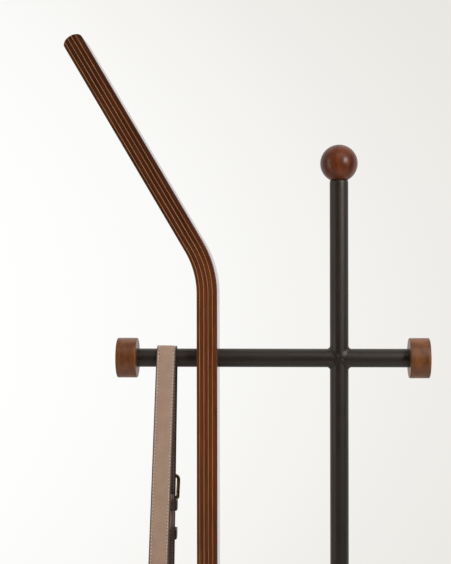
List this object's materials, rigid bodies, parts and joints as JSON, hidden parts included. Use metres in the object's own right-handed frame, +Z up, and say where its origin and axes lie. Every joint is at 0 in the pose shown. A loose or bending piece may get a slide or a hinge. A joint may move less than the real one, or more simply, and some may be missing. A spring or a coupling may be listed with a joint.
{
  "type": "valet stand",
  "caption": "Free-standing valet: round steel upright with ball, crossbar with wooden end discs, bent laminated post, round base and a buckled strap on the bar.",
  "frame": {"origin": "on the floor, in the middle of the base pad's underside, under the middle of the crossbar", "axes": "+Z up, +X along the crossbar from the strap's end towards the upright's end, +Y to the back"},
  "size_m": [0.4894, 0.38, 1.4856],
  "materials": {
    "black_powder_coat": "fine-textured satin powder coat",
    "zinc_steel": "zinc plated",
    "black_oxide_steel": "black oxide",
    "ball_wood": "stained and lacquered, glossy",
    "disc_wood": "stained, satin lacquer",
    "insert_brass": "machined",
    "dark_ply": "satin lacquer over dark wood",
    "pale_veneer": "satin lacquer over pale wood",
    "base_pad": "matte foam rubber",
    "strap_leather": "smooth grain, satin",
    "strap_lining": "dark lining leather",
    "keeper_leather": "dark brown, waxed edges",
    "antique_brass": "antique brass, darkened in the recesses"
  },
  "bodies": {
    "stand": {"upright_tube": "black_powder_coat", "crossbar_left": "black_powder_coat", "crossbar_right": "black_powder_coat", "crossbar_welds": "black_powder_coat", "upright_top_plug": "zinc_steel", "bar_plug_left": "zinc_steel", "bar_plug_right": "zinc_steel", "upright_foot_plug": "zinc_steel", "ball_finial": "ball_wood", "ball_insert": "insert_brass", "ball_stud": "zinc_steel", "end_disc_left": "disc_wood", "end_disc_right": "disc_wood", "disc_insert_left": "insert_brass", "disc_insert_right": "insert_brass", "disc_stud_left": "zinc_steel", "disc_stud_right": "zinc_steel", "post_ply_1": "dark_ply", "post_ply_2": "dark_ply", "post_ply_3": "dark_ply", "post_ply_4": "dark_ply", "post_ply_5": "dark_ply", "post_veneer_1": "pale_veneer", "post_veneer_2": "pale_veneer", "post_veneer_3": "pale_veneer", "post_veneer_4": "pale_veneer", "post_lock_screw": "black_oxide_steel", "post_lock_nut": "zinc_steel", "post_foot_inserts": "insert_brass", "post_foot_screws": "zinc_steel", "base_plate": "black_powder_coat", "base_pad": "base_pad", "upright_foot_bolt": "zinc_steel"},
    "strap": {"strap_leather": "strap_leather", "strap_lining": "strap_lining", "fixed_keeper": "keeper_leather"},
    "buckle_frame": {"buckle_frame": "antique_brass"},
    "buckle_prong": {"buckle_prong": "antique_brass"},
    "sliding_keeper": {"sliding_keeper": "keeper_leather"}
  },
  "joints": [
    {"name": "strap_swing", "type": "hinge", "parent": "stand", "child": "strap", "pos_m": [-0.14325, 0, 1.05], "axis": [1, 0, 0], "range_deg": [-60, 60]},
    {"name": "buckle_tilt", "type": "hinge", "parent": "strap", "child": "buckle_frame", "pos_m": [-0.14728, 0.01745, 0.85764], "axis": [-0.9998, 0, 0.0209], "range_deg": [0, 15]},
    {"name": "prong_lift", "type": "hinge", "parent": "buckle_frame", "child": "buckle_prong", "pos_m": [-0.14728, 0.01745, 0.85764], "axis": [-0.9998, 0, 0.0209], "range_deg": [0, 25]},
    {"name": "keeper_slide", "type": "slide", "parent": "strap", "child": "sliding_keeper", "axis": [0.0209, -0.0454, 0.9988], "range_m": [-0.055, 0.022]}
  ]
}
